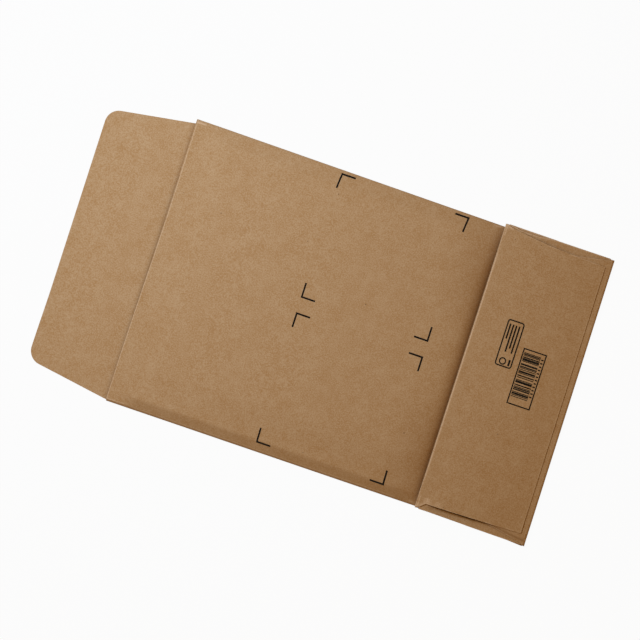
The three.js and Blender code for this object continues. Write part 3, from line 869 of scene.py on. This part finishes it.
def shade(x, y, z):
    """How much painted shade a place has: beside the mouth, before the near fold, along the -Y side
    fold or beside the lips.
    """
    level = level_of(x, z)
    if x < MOUTH_X - NEAR:
        return score_shade(MOUTH_X - x, y)
    if x < FOLD_X - NEAR and z > FRONT_LOW - PART_LAYER:
        return panel_shade(x, y) if y > -HELD_Y else RIM_SHADE
    if top_of(TOP_LAYER - 2) - NEAR < level < top_of(TOP_LAYER - 1) + NEAR:
        return lip_shade(x, y, level)
    return 0


def mark_folds(mesh, packed):
    """Sets how much each point of the sheet is rubbed pale with a painted highlight at a fold, and how
    much painted shade it has, which turns to a painted gap shadow where it is strongest.
    """
    # the first layer holds rub and painted highlight, the second painted shade
    fold = mesh.verts.layers.float.new("fold")
    score_and_shade = mesh.verts.layers.float.new("score_and_shade")
    for vertex, place in zip(mesh.verts, packed):
        bend_angle = max((e.calc_face_angle(0) for e in vertex.link_edges), default=0)
        rub_and_highlight = np.clip((bend_angle - RUB_AND_HIGHLIGHT_FROM) / (RUB_AND_HIGHLIGHT_FULL - RUB_AND_HIGHLIGHT_FROM), 0, 1)
        vertex[fold] = rub_and_highlight_strength(*place) * rub_and_highlight
        vertex[score_and_shade] = shade(*place)


def add_envelope():
    """The sheet and its print."""
    mesh, packed = bent_sheet()
    surface = BVHTree.FromBMesh(mesh)
    for face in mesh.faces:
        face.smooth = True
        face.material_index = int(is_cut_edge(face))
    mark_folds(mesh, packed)
    sheet = add_object("envelope_sheet", mesh, kraft_material(), edge_material())
    sheet.data.set_sharp_from_angle(angle=SHARP)
    weighted = sheet.modifiers.new("even_normals", "WEIGHTED_NORMAL")
    weighted.keep_sharp = True
    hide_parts("envelope")

    ink = ink_material()
    printed("print_corner_marks", corner_marks(), surface, ink)
    printed("print_bar_field", bar_field(), surface, ink)
    printed("print_label_field", label_field(), surface, ink)


# Camera, light and table
VIEW_TURN = math.radians(18.508)  # the envelope's turn in the picture, clockwise
VIEW_LEAN = math.radians(15.26)  # the camera's lean from straight down
LEAN_TOWARDS = math.radians(-2.5)  # from the picture's right, where it leans to
VIEW_DISTANCE = 15
VIEW_WIDTH = 0.45347  # of the table that the picture shows
VIEW_CENTRE = Vector((0.00135, -0.00132, 0))
SENSOR = 36

KEY_PLACE = Vector((-0.238, 0.14, 0.56))
KEY_SIZE = 0.25
KEY_POWER = 2.66
KEY_COLOUR = (0.765, 0.957, 1.24)
FILL = (0.375, 0.24, 0.085)
TABLE_SIZE = 20
TABLE_GREY = 0.5
TABLE_GLOW = 0.955  # share of the table's white that doesn't take shadows


def add_camera():
    """A distant camera that looks down on the table and leans to one side."""
    across = Vector((math.cos(VIEW_TURN), math.sin(VIEW_TURN), 0))
    along = Vector((-across.y, across.x, 0))
    towards = across * math.cos(LEAN_TOWARDS) + along * math.sin(LEAN_TOWARDS)
    back = Vector((0, 0, math.cos(VIEW_LEAN))) + towards * math.sin(VIEW_LEAN)
    up = (along - back * along.dot(back)).normalized()
    data = bpy.data.cameras.new("camera")
    data.sensor_width = SENSOR
    data.lens = SENSOR * VIEW_DISTANCE / VIEW_WIDTH
    camera = bpy.data.objects.new("camera", data)
    bpy.context.scene.collection.objects.link(camera)
    turn = Matrix((up.cross(back), up, back)).transposed().to_4x4()
    camera.matrix_world = Matrix.Translation(VIEW_CENTRE + back * VIEW_DISTANCE) @ turn
    bpy.context.scene.camera = camera


def add_key_light():
    """A soft lamp above the flap's end."""
    data = bpy.data.lights.new("key", "AREA")
    data.shape = "DISK"
    data.size = KEY_SIZE
    data.energy = KEY_POWER
    data.color = KEY_COLOUR
    key = bpy.data.objects.new("key", data)
    bpy.context.scene.collection.objects.link(key)
    key.location = KEY_PLACE
    key.visible_camera = False


def seen_ray(nodes):
    """1 for a ray that shows the background: from the camera, or in a reflection or glass."""
    path = nodes.add("ShaderNodeLightPath")
    seen = nodes.math("MAXIMUM", path.outputs["Is Camera Ray"], path.outputs["Is Glossy Ray"])
    return nodes.math("MAXIMUM", seen, path.outputs["Is Transmission Ray"])


def add_world():
    """A dim, warm light from all round, in front of a white background."""
    world = bpy.data.worlds.new("studio")
    bpy.context.scene.world = world
    nodes = Nodes(world)
    colour = nodes.mix(seen_ray(nodes), rgba(FILL), rgba((1, 1, 1)))
    background = nodes.add("ShaderNodeBackground", {"Color": colour, "Strength": 1.0})
    nodes.add("ShaderNodeOutputWorld", {"Surface": background.outputs[0]})


def add_table():
    """A white table top."""
    material = bpy.data.materials.new("white_table")
    nodes = Nodes(material)
    matt = nodes.add("ShaderNodeBsdfDiffuse", {"Color": rgba((TABLE_GREY,) * 3)})
    white = nodes.add("ShaderNodeEmission", {"Color": rgba((1, 1, 1)), "Strength": 1.0})
    share = nodes.math("MULTIPLY", seen_ray(nodes), TABLE_GLOW)
    mixed = nodes.add("ShaderNodeMixShader", {0: share, 1: matt.outputs[0], 2: white.outputs[0]})
    nodes.add("ShaderNodeOutputMaterial", {"Surface": mixed.outputs[0]})
    half = TABLE_SIZE / 2
    data = bpy.data.meshes.new("table")
    corners = [(-half, -half, 0), (half, -half, 0), (half, half, 0), (-half, half, 0)]
    data.from_pydata(corners, [], [(0, 1, 2, 3)])
    data.materials.append(material)
    table = bpy.data.objects.new("table", data)
    bpy.context.scene.collection.objects.link(table)
    table.location.z = -NEAR * MM


bpy.context.scene.view_settings.view_transform = "Standard"
add_camera()
add_envelope()
add_key_light()
add_world()
add_table()
